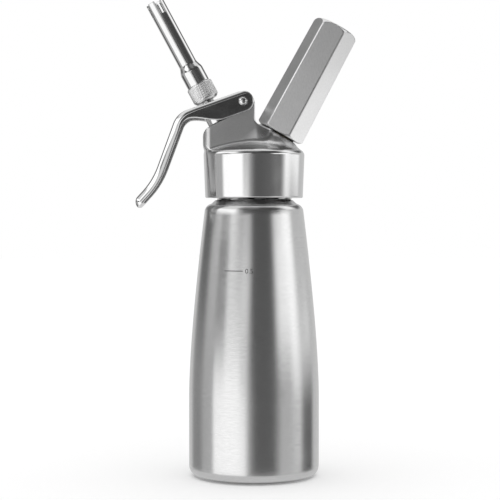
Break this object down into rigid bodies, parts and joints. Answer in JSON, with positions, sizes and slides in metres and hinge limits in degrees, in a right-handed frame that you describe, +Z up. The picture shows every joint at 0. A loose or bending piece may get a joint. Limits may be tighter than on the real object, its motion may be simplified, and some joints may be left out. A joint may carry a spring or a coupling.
{
  "type": "whipped cream dispenser",
  "caption": "Tapered steel bottle with a screw-on head, squeeze lever, sprung valve, slotted nozzle and a hexagonal gas charger holder.",
  "frame": {"origin": "where the bottle's axis meets the flat foot that it stands on", "axes": "+Z up along the bottle's axis; the lever hangs on the -X side and the charger holder leans to +X"},
  "size_m": [0.1319, 0.078, 0.286],
  "materials": {
    "bottle_steel": "stainless steel brushed round its axis",
    "head_steel": "satin stainless steel",
    "polished_steel": "polished stainless steel",
    "knurled_steel": "fine diamond knurl on satin steel",
    "holder_aluminium": "satin aluminium",
    "charger_steel": "bare zinc-plated steel",
    "brass": "machined brass",
    "seal_rubber": "black rubber",
    "red_rubber": "red silicone rubber"
  },
  "bodies": {
    "bottle": {"bottle": "bottle_steel", "neck_ring": "bottle_steel"},
    "gasket": {"head_gasket": "red_rubber"},
    "head": {"head": "head_steel", "inlet_stud": "brass", "stud_washer": "seal_rubber", "check_valve": "red_rubber", "check_valve_retainer": "brass", "piercing_pin": "polished_steel", "piercing_gasket": "seal_rubber", "valve_spring": "polished_steel"},
    "lever": {"lever": "polished_steel", "lever_pin": "polished_steel"},
    "valve": {"valve_stem": "polished_steel", "valve_seal": "seal_rubber", "stem_o_ring": "seal_rubber", "spring_cap": "polished_steel"},
    "tip_seal": {"tip_seal": "seal_rubber"},
    "nozzle": {"tip_ring": "knurled_steel", "nozzle_tube": "polished_steel"},
    "charger": {"gas_charger": "charger_steel"},
    "holder": {"charger_holder": "holder_aluminium"}
  },
  "joints": [
    {"name": "head_travel", "type": "slide", "parent": "bottle", "child": "gasket", "axis": [0, 0, 1], "range_m": [0, 0.014]},
    {"name": "head_turn", "type": "hinge", "parent": "gasket", "child": "head", "pos_m": [0, 0, 0.1665], "axis": [0, 0, 1], "range_deg": [0, 1262]},
    {"name": "lever_pivot", "type": "hinge", "parent": "head", "child": "lever", "pos_m": [-0.0065, 0, 0.2234], "axis": [0, -1, 0], "range_deg": [0, 9]},
    {"name": "valve_travel", "type": "slide", "parent": "head", "child": "valve", "axis": [-0.4741, 0, 0.8805], "range_m": [-0.0029, 0], "stiffness_N_per_m": 3000, "springref_m": 0.002, "deforming": ["valve_spring"]},
    {"name": "tip_travel", "type": "slide", "parent": "valve", "child": "tip_seal", "axis": [-0.4741, 0, 0.8805], "range_m": [0, 0.006]},
    {"name": "tip_turn", "type": "hinge", "parent": "tip_seal", "child": "nozzle", "pos_m": [0, 0, 0.1728], "axis": [-0.4741, 0, 0.8805], "range_deg": [0, 2162]},
    {"name": "charger_travel", "type": "slide", "parent": "head", "child": "charger", "axis": [0.4749, 0, 0.8801], "range_m": [0, 0.0105]},
    {"name": "holder_turn", "type": "hinge", "parent": "charger", "child": "holder", "pos_m": [0, 0, 0.1769], "axis": [0.4749, 0, 0.8801], "range_deg": [0, 2522]}
  ],
  "couplings": [
    {"joint": "head_turn", "follows": "head_travel", "rad_per_m": 1570.8},
    {"joint": "lever_pivot", "follows": "valve_travel", "rad_per_m": -54.054},
    {"joint": "tip_turn", "follows": "tip_travel", "rad_per_m": 6283.2},
    {"joint": "holder_turn", "follows": "charger_travel", "rad_per_m": 4188.8}
  ]
}
